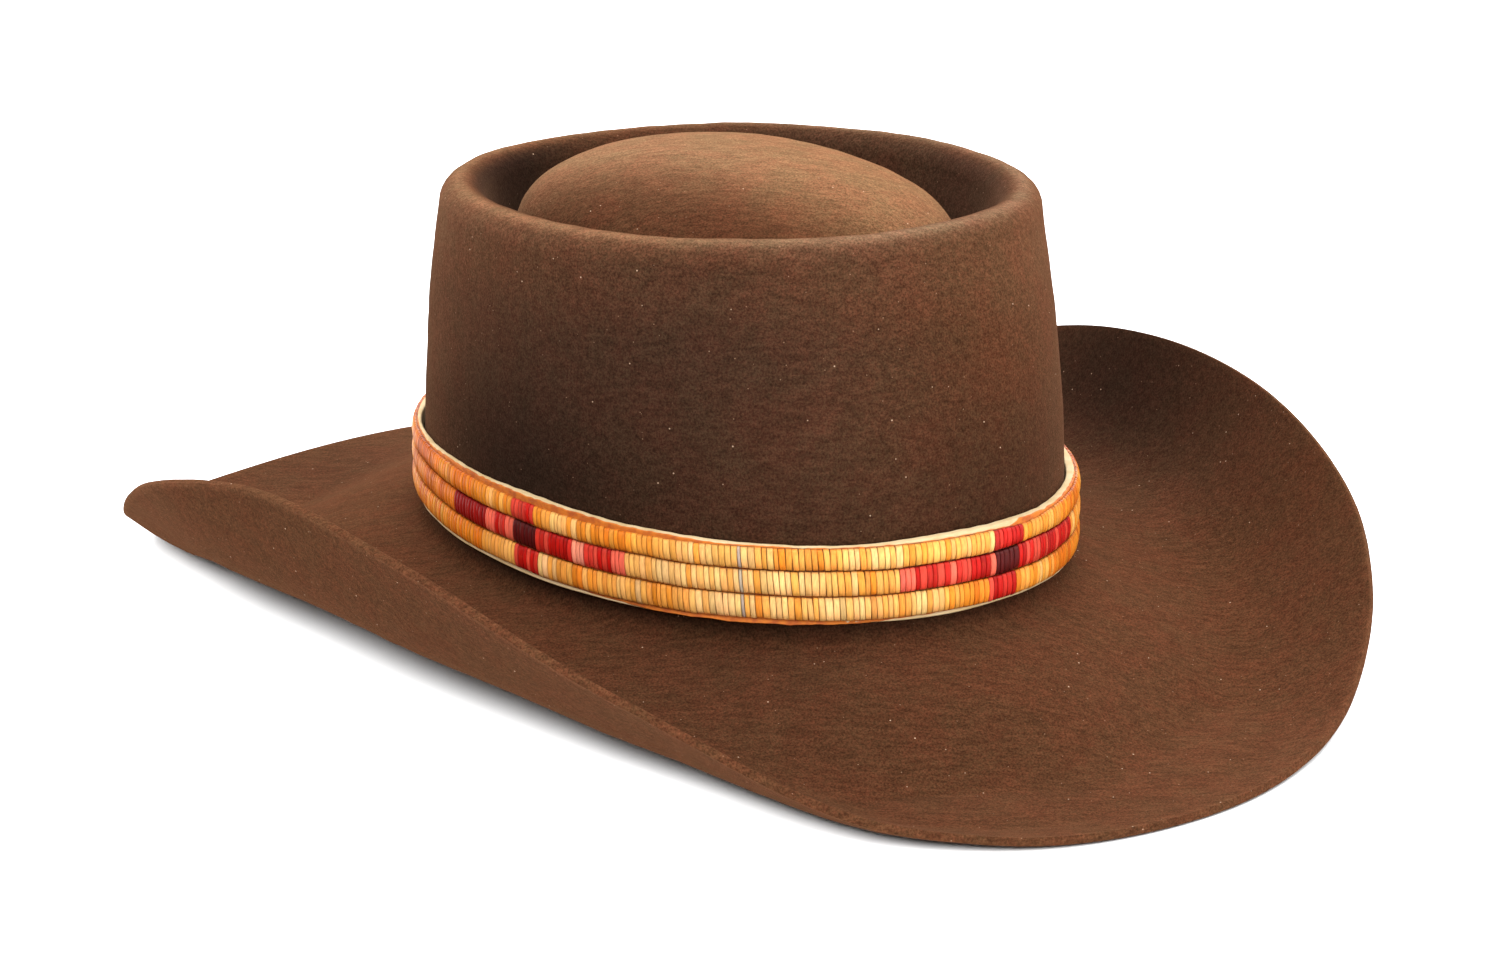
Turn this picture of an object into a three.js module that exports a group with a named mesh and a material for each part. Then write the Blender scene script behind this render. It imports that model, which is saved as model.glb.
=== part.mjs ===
// Felt hat with a telescoped crown, a rolled brim and a quilled leather band.
// Millimetres, +Z up, front of the hat towards -Y, brim resting on Z = 0.
import * as THREE from 'three';

// Felt sizes
const FELT = 2.2;
const CROWN_LENGTH = 210;
const CROWN_WIDTH = 164;
const TOP_LENGTH = 176;
const TOP_WIDTH = 162.5;
const TOP_SET_BACK = 1;
const OVAL_POWER = 2.1;
const LIP_HEIGHT = 127;
const LIP_FRONT_RISE = 2.4;
const LIP_RADIUS = 6.8;
const WALL_BULGE = 4.9;
const MOAT_DEPTH = 25;
const VALLEY_RADIUS = 2;
const INNER_LEAN = 4.2;
const DOME_ABOVE_LIP = 8.6;
const DOME_SET_BACK = 4.5;
const DOME_SET_RIGHT = 2;
const DOME_FULLNESS = 0.78;
const DOME_BACK_FULLNESS = 0.075;
const BREAK_HEIGHT = 23.5;
const BREAK_RADIUS = 7;
const BRIM_REACH = 93.5;
const SIDE_RISE = 59.8;
const RIGHT_RIM_LIFT = 1.4;
const INNER_PULL = 0.6;
const OUTER_PULL = 0.55;

// Hatband sizes
const GAP = 0.3;
const LEATHER = 2.2;
const BAND_BOTTOM = 31.3;
const BAND_HEIGHT = 21.8;
const MAT = 1;
const MAT_MARGIN = 0.4;
const ROWS_TOP_MARGIN = 0.7;
const ROWS_BOTTOM_MARGIN = 0.9;
const QUILL_EDGE = 0.6;
const QUILL_BULGE = 0.8;

// Facets
const TURNS = 60;
const ROW_STEPS = 4;

// Brim sections from the front (0 degrees) to the back (180 degrees), the same on both sides.
// reach: share of BRIM_REACH, how far the edge lies out from the crown
// rise: share of SIDE_RISE, how high the edge lies above the floor
// start, end: slope in degrees at the crown and at the edge
const BRIM_SECTIONS = [
  { reach: 0.985, rise: 0.04, start: -13, end: 7 },
  { reach: 0.95, rise: 0.15, start: -15.5, end: 24 },
  { reach: 0.885, rise: 0.635, start: -17.5, end: 45 },
  { reach: 0.785, rise: 0.945, start: -10.5, end: 64 },
  { reach: 0.755, rise: 1, start: -8.5, end: 74 },
  { reach: 0.875, rise: 0.75, start: -4, end: 60 },
  { reach: 0.955, rise: 0.24, start: -7, end: 31 },
  { reach: 1, rise: 0.045, start: -11.5, end: 12 },
  { reach: 1, rise: 0.03, start: -12.5, end: -4 },
];

// Quill rows from the bottom up, each with its share of the quilled height
const QUILL_ROWS = [
  { name: 'quill_row_bottom', share: 0.34, color: 0xf0b35c },
  { name: 'quill_row_middle', share: 0.355, color: 0xc9453c },
  { name: 'quill_row_top', share: 0.305, color: 0xf4c274 },
];

// An oval point, with the turn counted from the front towards the wearer's right (-X).
function oval(halfLength, halfWidth, turn) {
  const power = 2 / OVAL_POWER;
  const across = Math.sin(turn);
  const along = Math.cos(turn);
  return new THREE.Vector2(
    -halfWidth * Math.sign(across) * Math.abs(across) ** power,
    -halfLength * Math.sign(along) * Math.abs(along) ** power,
  );
}

// The same oval moved out along its own normal by the distance out.
function ovalOffset(halfLength, halfWidth, turn, out) {
  const step = 1e-4;
  const before = oval(halfLength, halfWidth, turn - step);
  const after = oval(halfLength, halfWidth, turn + step);
  const along = after.sub(before).normalize();
  const normal = new THREE.Vector2(-along.y, along.x);
  return oval(halfLength, halfWidth, turn).addScaledVector(normal, out);
}

// A smooth closed ring of values through the brim sections of both sides.
function aroundBrim(column, turn) {
  const last = BRIM_SECTIONS.length - 1;
  const stations = 2 * last;
  const place = THREE.MathUtils.euclideanModulo(turn / (2 * Math.PI), 1) * stations;
  const first = Math.floor(place);
  const value = (index) => {
    const station = THREE.MathUtils.euclideanModulo(index, stations);
    return BRIM_SECTIONS[Math.min(station, stations - station)][column];
  };
  const [a, b, c, d] = [value(first - 1), value(first), value(first + 1), value(first + 2)];
  const f = place - first;
  return b + 0.5 * f * (c - a + f * (2 * a - 5 * b + 4 * c - d + f * (3 * (b - c) + d - a)));
}

function lipTop(turn) {
  return LIP_HEIGHT + LIP_FRONT_RISE * Math.cos(turn);
}

// Middle line of the felt in the brim at one turn, as a curve of reach against height.
function brimCurve(turn) {
  const reach = BRIM_REACH * aroundBrim('reach', turn);
  const lift = RIGHT_RIM_LIFT * Math.sin(turn) * Math.abs(Math.sin(turn));
  const rise = SIDE_RISE * aroundBrim('rise', turn) + lift;
  const start = new THREE.Vector2(0, BREAK_HEIGHT);
  const end = new THREE.Vector2(reach, rise);
  const chord = start.distanceTo(end);
  const startSlope = THREE.MathUtils.degToRad(aroundBrim('start', turn));
  const endSlope = THREE.MathUtils.degToRad(aroundBrim('end', turn));
  const inner = new THREE.Vector2(Math.cos(startSlope), Math.sin(startSlope))
    .multiplyScalar(INNER_PULL * chord).add(start);
  const outer = new THREE.Vector2(Math.cos(endSlope), Math.sin(endSlope))
    .multiplyScalar(-OUTER_PULL * chord).add(end);
  return new THREE.CubicBezierCurve(start, inner, outer, end);
}

// Share of the brim curve that the rounded break at the crown takes up
function breakShare(curve) {
  return BREAK_RADIUS / (3 * curve.v0.distanceTo(curve.v1));
}

// Outer face of the crown wall at a height, moved out along its normal.
function wallPoint(height, turn, out) {
  const top = lipTop(turn) - LIP_RADIUS;
  const share = (height - BREAK_HEIGHT) / (top - BREAK_HEIGHT);
  const halfLength = THREE.MathUtils.lerp(CROWN_LENGTH, TOP_LENGTH, share) / 2;
  const halfWidth = THREE.MathUtils.lerp(CROWN_WIDTH, TOP_WIDTH, share) / 2;
  const bulge = WALL_BULGE * Math.cos(turn) ** 2 * Math.sin(Math.PI * share);
  const point = ovalOffset(halfLength, halfWidth, turn, bulge + out);
  return new THREE.Vector3(point.x, point.y + TOP_SET_BACK * share, height);
}

// A point above the top oval, moved out (or in, below zero) along its normal.
function topPoint(out, turn, height) {
  const point = ovalOffset(TOP_LENGTH / 2, TOP_WIDTH / 2, turn, out);
  return new THREE.Vector3(point.x, point.y + TOP_SET_BACK, height);
}

const LIP_MIDDLE_RADIUS = LIP_RADIUS - FELT / 2;
const VALLEY_MIDDLE_RADIUS = VALLEY_RADIUS + FELT / 2;
const INNER_WALL_OUT = -LIP_RADIUS - LIP_MIDDLE_RADIUS;
const VALLEY_OUT = INNER_WALL_OUT - INNER_LEAN - VALLEY_MIDDLE_RADIUS;

function valleyHeight(turn) {
  return lipTop(turn) - MOAT_DEPTH + VALLEY_RADIUS;
}

// The dome leans towards the back and right of the hat, and is fuller at the back.
function domePoint(share, turn) {
  const angle = share * Math.PI / 2;
  const scale = Math.sin(angle);
  const height = Math.max(Math.cos(angle), 0);
  const domeOut = VALLEY_OUT - VALLEY_MIDDLE_RADIUS;
  const edge = topPoint(domeOut, turn, valleyHeight(turn));
  const foot = THREE.MathUtils.lerp(LIP_HEIGHT - MOAT_DEPTH + VALLEY_RADIUS, edge.z, scale);
  const rise = DOME_ABOVE_LIP + MOAT_DEPTH - VALLEY_RADIUS - FELT / 2;
  const back = (edge.y - TOP_SET_BACK) * scale;
  const fuller = 1 + DOME_BACK_FULLNESS * back / (TOP_LENGTH / 2 + domeOut);
  return new THREE.Vector3(
    edge.x * scale - DOME_SET_RIGHT * height,
    TOP_SET_BACK + back + DOME_SET_BACK * height,
    foot + rise * fuller * height ** DOME_FULLNESS,
  );
}

function valleyPoint(share, turn) {
  const angle = (share - 1) * Math.PI;
  const out = VALLEY_OUT + VALLEY_MIDDLE_RADIUS * Math.cos(angle);
  return topPoint(out, turn, valleyHeight(turn) + VALLEY_MIDDLE_RADIUS * Math.sin(angle));
}

function innerWallPoint(share, turn) {
  const height = THREE.MathUtils.lerp(valleyHeight(turn), lipTop(turn) - LIP_RADIUS, share);
  return topPoint(INNER_WALL_OUT - INNER_LEAN * (1 - share), turn, height);
}

function lipPoint(share, turn) {
  const angle = (1 - share) * Math.PI;
  const out = -LIP_RADIUS + LIP_MIDDLE_RADIUS * Math.cos(angle);
  return topPoint(out, turn, lipTop(turn) - LIP_RADIUS + LIP_MIDDLE_RADIUS * Math.sin(angle));
}

function outerWallPoint(share, turn) {
  const top = lipTop(turn) - LIP_RADIUS;
  const height = THREE.MathUtils.lerp(top, BREAK_HEIGHT + BREAK_RADIUS, share);
  return wallPoint(height, turn, -FELT / 2);
}

// A point that stands out from the crown's base oval; felt that reaches the floor lies flat on it.
function basePoint(place, turn) {
  const point = ovalOffset(CROWN_LENGTH / 2, CROWN_WIDTH / 2, turn, place.x);
  return new THREE.Vector3(point.x, point.y, Math.max(place.y, FELT / 2));
}

function breakPoint(share, turn) {
  const brim = brimCurve(turn);
  const top = wallPoint(BREAK_HEIGHT + BREAK_RADIUS, turn, -FELT / 2);
  const foot = basePoint(new THREE.Vector2(-FELT / 2, BREAK_HEIGHT), turn);
  const end = basePoint(brim.getPoint(breakShare(brim)), turn);
  return new THREE.QuadraticBezierCurve3(top, foot, end).getPoint(share);
}

function brimPoint(share, turn) {
  const brim = brimCurve(turn);
  return basePoint(brim.getPoint(THREE.MathUtils.lerp(breakShare(brim), 1, share)), turn);
}

// The felt's stretches from the top of the dome out to the brim's edge
const STRETCHES = [
  { point: domePoint, steps: 5 },
  { point: valleyPoint, steps: 3 },
  { point: innerWallPoint, steps: 1 },
  { point: lipPoint, steps: 5 },
  { point: outerWallPoint, steps: 4 },
  { point: breakPoint, steps: 2 },
  { point: brimPoint, steps: 9 },
];

// A point on the felt's middle surface; place counts stretches from the dome's top.
function middlePoint(place, turn) {
  const index = Math.min(Math.floor(place), STRETCHES.length - 1);
  return STRETCHES[index].point(place - index, turn);
}

// Unit normal of the middle surface, towards the outside of the hat
function middleNormal(place, turn) {
  const step = 1e-3;
  const low = Math.max(place - step, 0);
  const high = Math.min(place + step, STRETCHES.length);
  const outwards = middlePoint(high, turn).sub(middlePoint(low, turn));
  const around = middlePoint(place, turn + step).sub(middlePoint(place, turn - step));
  return around.cross(outwards).normalize();
}

function feltPoint(place, turn, side) {
  return middlePoint(place, turn).addScaledVector(middleNormal(place, turn), side * FELT / 2);
}

function solidGeometry(points, triangles) {
  const geometry = new THREE.BufferGeometry();
  const positions = points.flatMap((point) => [point.x, point.y, point.z]);
  geometry.setAttribute('position', new THREE.Float32BufferAttribute(positions, 3));
  geometry.setIndex(triangles);
  geometry.computeVertexNormals();
  return geometry;
}

function turnAt(index) {
  return index / TURNS * 2 * Math.PI;
}

// Two triangles between columns i and i + 1 of two rings of points
function quad(ringA, ringB, i) {
  const j = (i + 1) % TURNS;
  return [ringA + i, ringA + j, ringB + i, ringA + j, ringB + j, ringB + i];
}

// The felt is one sheet: an outer face, an inner face and the cut edge between them.
function feltGeometry() {
  const places = STRETCHES.flatMap(({ steps }, index) => (
    Array.from({ length: steps }, (_, step) => index + (step + 1) / steps)
  ));
  const points = [];
  const triangles = [];
  const rings = [];
  for (const side of [1, -1]) {
    points.push(feltPoint(0, 0, side));
    const pole = points.length - 1;
    for (const place of places) {
      rings.push(points.length);
      for (let i = 0; i < TURNS; i += 1) {
        points.push(feltPoint(place, turnAt(i), side));
      }
    }
    const ring = rings.slice(-places.length);
    for (let i = 0; i < TURNS; i += 1) {
      const j = (i + 1) % TURNS;
      const faces = [pole, ring[0] + j, ring[0] + i];
      for (let k = 0; k + 1 < ring.length; k += 1) {
        faces.push(...quad(ring[k], ring[k + 1], i));
      }
      triangles.push(...(side > 0 ? faces : faces.reverse()));
    }
  }
  const outerEdge = rings[places.length - 1];
  const innerEdge = rings[2 * places.length - 1];
  for (let i = 0; i < TURNS; i += 1) {
    triangles.push(...quad(outerEdge, innerEdge, i));
  }
  return solidGeometry(points, triangles);
}

// A closed ring around the crown wall; its section is a list of places out from the wall and heights.
function ringGeometry(section) {
  const points = [];
  for (const place of section) {
    for (let i = 0; i < TURNS; i += 1) {
      points.push(wallPoint(place.y, turnAt(i), place.x));
    }
  }
  const triangles = [];
  section.forEach((_, k) => {
    const next = (k + 1) % section.length;
    for (let i = 0; i < TURNS; i += 1) {
      triangles.push(...quad(k * TURNS, next * TURNS, i));
    }
  });
  return solidGeometry(points, triangles);
}

function flatSection(inner, thickness, bottom, top) {
  return [
    new THREE.Vector2(inner, top),
    new THREE.Vector2(inner + thickness, top),
    new THREE.Vector2(inner + thickness, bottom),
    new THREE.Vector2(inner, bottom),
  ];
}

// A quill row is flat towards the band and rounded outwards.
function rowSection(inner, bottom, top) {
  const section = [new THREE.Vector2(inner, top)];
  for (let k = 0; k <= ROW_STEPS; k += 1) {
    const share = k / ROW_STEPS;
    const out = inner + QUILL_EDGE + QUILL_BULGE * Math.sin(Math.PI * share);
    section.push(new THREE.Vector2(out, THREE.MathUtils.lerp(top, bottom, share)));
  }
  section.push(new THREE.Vector2(inner, bottom));
  return section;
}

function part(name, geometry, color, roughness) {
  const material = new THREE.MeshStandardMaterial({ color, roughness, metalness: 0 });
  const mesh = new THREE.Mesh(geometry, material);
  mesh.name = name;
  return mesh;
}

function feltBody() {
  return part('felt_body', feltGeometry(), 0x5c3d2c, 0.95);
}

function bandBacking() {
  const section = flatSection(GAP, LEATHER, BAND_BOTTOM, BAND_BOTTOM + BAND_HEIGHT);
  return part('band_backing', ringGeometry(section), 0xe6d3a8, 0.85);
}

const MAT_INNER = GAP + LEATHER + GAP;
const ROWS_INNER = MAT_INNER + MAT + GAP;

function quillMat() {
  const bottom = BAND_BOTTOM + MAT_MARGIN;
  const top = BAND_BOTTOM + BAND_HEIGHT - MAT_MARGIN;
  return part('quill_mat', ringGeometry(flatSection(MAT_INNER, MAT, bottom, top)), 0xb4622a, 0.8);
}

function quillRows() {
  const bottom = BAND_BOTTOM + ROWS_BOTTOM_MARGIN;
  const top = BAND_BOTTOM + BAND_HEIGHT - ROWS_TOP_MARGIN;
  const quilled = top - bottom - GAP * (QUILL_ROWS.length - 1);
  let low = bottom;
  return QUILL_ROWS.map(({ name, share, color }) => {
    const high = low + share * quilled;
    const row = part(name, ringGeometry(rowSection(ROWS_INNER, low, high)), color, 0.45);
    low = high + GAP;
    return row;
  });
}

// The hat stands centred on the origin, on the floor.
function hat() {
  const group = new THREE.Group();
  group.add(feltBody(), bandBacking(), quillMat(), ...quillRows());
  const box = new THREE.Box3().setFromObject(group, true);
  const centre = box.getCenter(new THREE.Vector3());
  group.position.set(-centre.x, -centre.y, -box.min.z);
  return group;
}

export default hat();
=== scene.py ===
"""Looks of the felt hat: fur felt with a soft nap, a leather band and three rows of flattened quills."""

import math

import bpy
import numpy as np
from mathutils import Matrix, Vector


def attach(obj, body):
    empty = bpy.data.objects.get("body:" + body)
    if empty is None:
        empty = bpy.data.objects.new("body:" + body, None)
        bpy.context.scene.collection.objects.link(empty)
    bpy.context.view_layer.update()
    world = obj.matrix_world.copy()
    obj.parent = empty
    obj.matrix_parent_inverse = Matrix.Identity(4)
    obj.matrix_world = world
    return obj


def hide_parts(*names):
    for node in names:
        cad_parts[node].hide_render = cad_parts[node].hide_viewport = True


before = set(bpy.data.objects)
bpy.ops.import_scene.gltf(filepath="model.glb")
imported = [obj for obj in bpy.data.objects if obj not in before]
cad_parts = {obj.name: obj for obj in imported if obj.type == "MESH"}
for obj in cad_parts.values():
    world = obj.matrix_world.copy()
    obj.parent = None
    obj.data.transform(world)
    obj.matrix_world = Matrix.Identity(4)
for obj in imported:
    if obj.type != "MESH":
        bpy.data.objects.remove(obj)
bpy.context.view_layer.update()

MM = 0.001
FULL_TURN = 2 * np.pi

# Felt sizes; the solids have the same, but for the dome's height, lean and fullness
FELT = 2.2 * MM
CROWN_LENGTH = 210 * MM
CROWN_WIDTH = 164 * MM
TOP_LENGTH = 176 * MM
TOP_WIDTH = 162.5 * MM
TOP_SET_BACK = 1 * MM
OVAL_POWER = 2.1
LIP_HEIGHT = 127 * MM
LIP_FRONT_RISE = 2.4 * MM
LIP_RADIUS = 6.8 * MM
WALL_BULGE = 4.9 * MM
MOAT_DEPTH = 25 * MM
VALLEY_RADIUS = 2 * MM
INNER_LEAN = 4.2 * MM
DOME_ABOVE_LIP = 8.2 * MM
DOME_SET_BACK = 5.7 * MM
DOME_SET_RIGHT = 3.8 * MM
DOME_FULLNESS = 0.66
DOME_BACK_FULLNESS = 0.075
BREAK_HEIGHT = 23.5 * MM
BREAK_RADIUS = 7 * MM
BRIM_REACH = 93.5 * MM
SIDE_RISE = 59.8 * MM
RIGHT_RIM_LIFT = 1.4 * MM
INNER_PULL = 0.6
OUTER_PULL = 0.55

# The solids' group is centred on the row's origin, which moves the shape this far back.
SHAPE_SHIFT = np.array([0, -0.67, 0]) * MM

# Brim sections from the front to the back: share of BRIM_REACH, share of SIDE_RISE,
# slope in degrees at the crown and at the edge
BRIM_SECTIONS = {
    "reach": (0.985, 0.95, 0.885, 0.785, 0.755, 0.875, 0.955, 1, 1),
    "rise": (0.04, 0.15, 0.635, 0.945, 1, 0.75, 0.24, 0.045, 0.03),
    "start": (-13, -15.5, -17.5, -10.5, -8.5, -4, -7, -11.5, -12.5),
    "end": (7, 24, 45, 64, 74, 60, 31, 12, -4),
}

# Level directions seen from the camera's side of the hat
VIEW_AWAY = (0.575, 0.818)
VIEW_RIGHT = (0.818, -0.575)

# Felt mesh and its rounded cut edge
FELT_COLUMNS = 288
RIM_ROUNDING = 0.35 * MM
RIM_STEPS = 10
RIM_LIFT_POWER = 0.4
RIM_OUT_POWER = 0.6

# The felt's unevenness: size, length and seed of each wave, and how far it stays off the
# middle of the band and off the floor
FELT_WAVES = ((0.2 * MM, 48 * MM, 3), (0.05 * MM, 10 * MM, 4))
BAND_FADE = (12 * MM, 30 * MM)
FLOOR_FADE = (FELT / 2, FELT / 2 + 8 * MM)

# Painted light and shade on the felt, as a factor on its colour: painted light on the dome,
# painted shade in the moat and on the wall. A fade names where it starts and ends, either
# level in metres or in places on the felt, which count its stretches from the dome's top.
DOME_PAINTED_LIGHT = 1.75
DOME_FADE = (-55 * MM, -5 * MM)
DOME_FADE_SKEW = 0.5
MOAT_PAINTED_SHADE = 0.15
MOAT_LEFT_PAINTED_SHADE = 0.65
MOAT_RIGHT_PAINTED_SHADE = 0.28
MOAT_END_FADE = (40 * MM, 70 * MM)
MOAT_FADES = ((0.85, 1.2), (3.2, 3.5))
WALL_PAINTED_SHADE = 0.24
WALL_FADES = ((4.03, 4.25), (4.9, 5.5))
# A painted highlight round the brim's cut edge, and painted shade over the whole underside
RIM_PAINTED_HIGHLIGHT = 1.2
UNDERSIDE_PAINTED_SHADE = 0.79

# Painted highlights along the lip: place on the felt, reach in places and how much paler
LIP_PAINTED_HIGHLIGHTS = ((3.55, 0.12, 1.1), (3.75, 0.2, 0.3))

# How much redder the nap is: on the brim, less on its far right; on the crown's top, more
# on the right of the dome and less on the right of the moat; and on the right of the wall
BRIM_FADE = (4.8, 5.6)
FAR_BRIM_LESS = 0.8
FAR_BRIM_FADE = (-20 * MM, 60 * MM)
RIGHT_BRIM_FADE = (40 * MM, 90 * MM)
TOP_REDDER = 0.6
TOP_FADE = (3.5, 3.9)
RIGHT_DOME_REDDER = 0.6
RIGHT_MOAT_REDDER = -1.2
RIGHT_TOP_FADE = (-40 * MM, 50 * MM)
DOME_EDGE_FADE = (0.85, 1.1)
RIGHT_WALL_REDDER = 0.9
RIGHT_WALL_FADE = (15 * MM, 75 * MM)
UNDERSIDE_REDDER = 1.6

# Powers of the painted light and of the painted shade in red, green and blue, and how much redness takes
# from each.
# Tints are stored in this unit, so that none is above 1.
PAINTED_LIGHT_POWERS = (1, 1.27, 1.34)
PAINTED_SHADE_POWERS = (1, 0.8, 0.55)
REDNESS_TAKES = (0, 0.1, 0.2)
TINT_UNIT = 0.25

# Patches of painted light and painted shade on the felt: place on the felt, turn in degrees,
# how far each reaches in places and in degrees, and by how much the colour changes
FELT_PAINTED_LIGHT_PATCHES = (
    (4.75, 85, 0.4, 24, -0.6),
    (4.2, 336, 0.25, 20, 0.45),
    (4.4, 15, 0.5, 25, 0.2),
    (6.85, 266, 0.4, 20, -0.6),
    (6.8, 168, 0.3, 14, -0.25),
    (4.1, 45, 0.5, 30, -0.24),
    (4.4, 112, 0.5, 20, 0.3),
    (5, 92, 0.25, 14, -0.15),
    (4.85, -5, 0.35, 18, -0.2),
    (3.62, 36, 0.1, 60, 0.15),
    (6.1, 38, 0.5, 28, -0.16),
    (6.3, 82, 0.5, 16, 0.1),
)

# Hatband sizes: places out from the crown wall, and heights above the floor. The band tilts,
# highest at its turn in degrees; the leather's edges follow a share of that.
BAND_COLUMNS = 720
BAND_TILT = 1.1 * MM
BAND_TILT_TURN = 60
LEATHER_INNER = 0.35 * MM
LEATHER_OUTER = 2.75 * MM
LEATHER_BOTTOM = 31 * MM
LEATHER_BOTTOM_TILT = 0.5
LEATHER_TOP = 51.5 * MM
LEATHER_TOP_TILT = 0.8
LEATHER_ROUNDING = 0.45 * MM
LEATHER_FLARE = 0.6 * MM
LEATHER_KNEE = 1.1 * MM
LEATHER_LOOSENESS = 0.1 * MM
MAT_INNER = 2.35 * MM
MAT_OUTER = 3.1 * MM
MAT_ROUNDING = 0.25 * MM
MAT_INSET = 0.15 * MM
MAT_TOP_INSET = 0.03 * MM
MAT_DROP = 1.7 * MM
MAT_FLARE = 1.2 * MM
MAT_KNEE = 0.3 * MM
MAT_COVER_FADE = (0, 0.25 * MM)
ROWS_BOTTOM = 31.6 * MM
ROWS_TOP = 51.3 * MM
ROW_SHARES = (0.345, 0.348, 0.307)
ROW_GAP = 0.4 * MM
QUILL_BACK = 2.95 * MM
QUILL_EDGE = 3.5 * MM
QUILL_CREST = 4.5 * MM
QUILL_CROWNING = 0.18 * MM
QUILL_WIDTH = 1.68 * MM
QUILL_SPACING = 0.16 * MM
THREAD_TURN = math.radians(39)
THREAD_WIDTH = 0.9 * MM
ARC_STEPS = 4000

# Places where the band differs: turn and spread in degrees, and size where there is one
HUG = (112, 26, 0.9 * MM)
HUG_INSIDE = 0.15
LEATHER_RISES = ((80, 26, 1.4 * MM), (0, 16, 0.84 * MM))
LEATHER_LOOSE = (126, 13, 0.6 * MM)
LEATHER_SHADE = (-15, 45, 0.17)
ROWS_TOP_DIPS = ((62, 12, 0.45 * MM), (-13, 8, 0.8 * MM))
BARE_MAT = ((66, 17, 1.9 * MM), (93, 13, 1.4 * MM))
LOW_MAT = (40, 19)

# The mat also lies bare on the left front, between these fades in degrees to the left
LEFT_BARE_MAT = 1.7 * MM
LEFT_BARE_MAT_FADES = ((9, 13), (26, 45))

# Unevenness round the band: size, length along the band and seed
LEATHER_TOP_WAVES = ((0.12 * MM, 26 * MM, 11), (0.06 * MM, 5 * MM, 12))
LEATHER_LOOSE_WAVE = (0.1 * MM, 30 * MM, 13)
LEATHER_FACE_WAVE = (0.05 * MM, 12 * MM, 14)
LEATHER_BOTTOM_WAVE = (0.1 * MM, 24 * MM, 15)
ROWS_BOTTOM_WAVE = (0.08 * MM, 34 * MM, 21)
ROWS_TOP_WAVE = (0.08 * MM, 30 * MM, 22)
ROW_LINE_WAVES = ((0.09 * MM, 28 * MM, 23), (0.09 * MM, 28 * MM, 24))
MAT_TOP_WAVE = (0.07 * MM, 3 * MM, 31)
MAT_BOTTOM_WAVE = (0.07 * MM, 3 * MM, 32)

# Leather tints: the top edge is a little darker, and each shade takes most from the blue
LEATHER_TOP_SHADE = 0.2
LEATHER_TOP_FADE = (-0.5 * MM, -0.1 * MM)
LEATHER_SHADE_COLOUR = (1, 0.98, 0.96)

# One quill: places across it in half widths, with the last two at its back; how far its face
# is crowned and the painted shade on its colour there; its loops from end to end, as shares of
# its length; and how much of red, green and blue the painted shade at its ends takes
QUILL_ACROSS = np.array([-1, -0.86, -0.5, 0, 0.5, 0.86, 1, 1, -1])
QUILL_FACE = np.array([0.1, 0.62, 0.93, 1, 0.93, 0.62, 0.1])
QUILL_SHADES = np.array([0.7, 0.93, 1, 1, 1, 0.93, 0.7, 0.6, 0.6])
QUILL_UP = np.array([0, 0.05, 0.14, 0.3, 0.5, 0.7, 0.86, 0.95, 1])
QUILL_END_SHADE = np.array([0.4, 0.5, 0.6])

# How much single quills differ
QUILL_SEED = 50
WIDTH_SPREAD = 0.13
WIDTH_RANGE = (0.65, 1.4)
TILT_SPREAD = 0.06
END_SPREAD = 0.05 * MM
CREST_SPREAD = 0.05
GOLD_LEVEL_SPREAD = 0.5
RED_LEAN_SPREAD = 0.35
RED_LEAN_RANGE = (-0.6, 0.45)
BRIGHTNESS_SPREAD = 0.08
HUE_SPREAD = 0.03

# Quill colours in each row, from the grey thread out to the hat's right and to its left:
# where each colour ends, in millimetres from the thread; gold goes on to the middle of the side
ROW_CHARTS = {
    "quill_row_bottom": (
        [(64.6, "gold"), (74.7, "red")],
        [(70, "gold"), (80.5, "red")],
    ),
    "quill_row_middle": (
        [(33, "gold"), (37.5, "pink"), (46.8, "red"), (51.1, "pale_pink"), (65.4, "red"),
         (75, "plum"), (79, "pink"), (84, "red"), (88.8, "pink"), (107.5, "crimson")],
        [(42, "gold"), (46.5, "pink"), (57, "red"), (59, "pink"), (70.5, "red"), (72.5, "pink"),
         (81.5, "plum"), (113, "red")],
    ),
    "quill_row_top": (
        [(65.9, "gold"), (75.8, "red")],
        [(72, "gold"), (83.5, "red")],
    ),
}

# How much deeper each row's gold gets round the hat's right front, its right side and its
# left front, and the fades to there in degrees
GOLD_DEEPENING = {
    "quill_row_bottom": (0.3, 1.7, 2.0),
    "quill_row_middle": (-0.5, 3.0, 0.8),
    "quill_row_top": (1.1, 1.2, 1.6),
}
RIGHT_FRONT_FADE = (38, 60)
RIGHT_SIDE_FADE = (78, 104)
LEFT_FRONT_FADE = (-16, 26)
GOLD_LEVEL = 0.7
GOLD_WAVE = 0.45
GOLD_WAVE_LENGTH = 24 * MM
GOLD_WAVE_SEED = 41
# Painted shade on the quills towards the hat's left, and its fade in degrees
LEFT_SHADE = 0.14
LEFT_SHADE_FADE = (0, 30)

# Camera, fitted to the hat's outline in a picture 1500 pixels wide, with angles in degrees
PICTURE_WIDTH = 1500
CAMERA_AZIMUTH = -35.1
CAMERA_PITCH = 17.81
CAMERA_ROLL = 0.624
CAMERA_PLACE = Vector((-0.5843, -0.8515, 0.3692))
CAMERA_FOCUS = 3772.5
CAMERA_OFFSET = 27.9
SENSOR_WIDTH = 36

# Light: a white surround, and soft suns with their strength, angle, azimuth and height in
# degrees; the last sun lights the floor alone
SURROUND_STRENGTH = 0.44
SUNS = {
    "top_light": (2.7, 50, 0, 85),
    "back_light": (3.5, 50, 145, 35),
    "right_light": (1.8, 50, 60, 35),
    "front_light": (1.75, 50, -35, 45),
    "left_light": (1.0, 50, -105, 35),
}
FLOOR_SUN = (11.5, 13, -40, 31)
FLOOR_HALF = 15
FLOOR_DROP = 0.1 * MM


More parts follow.
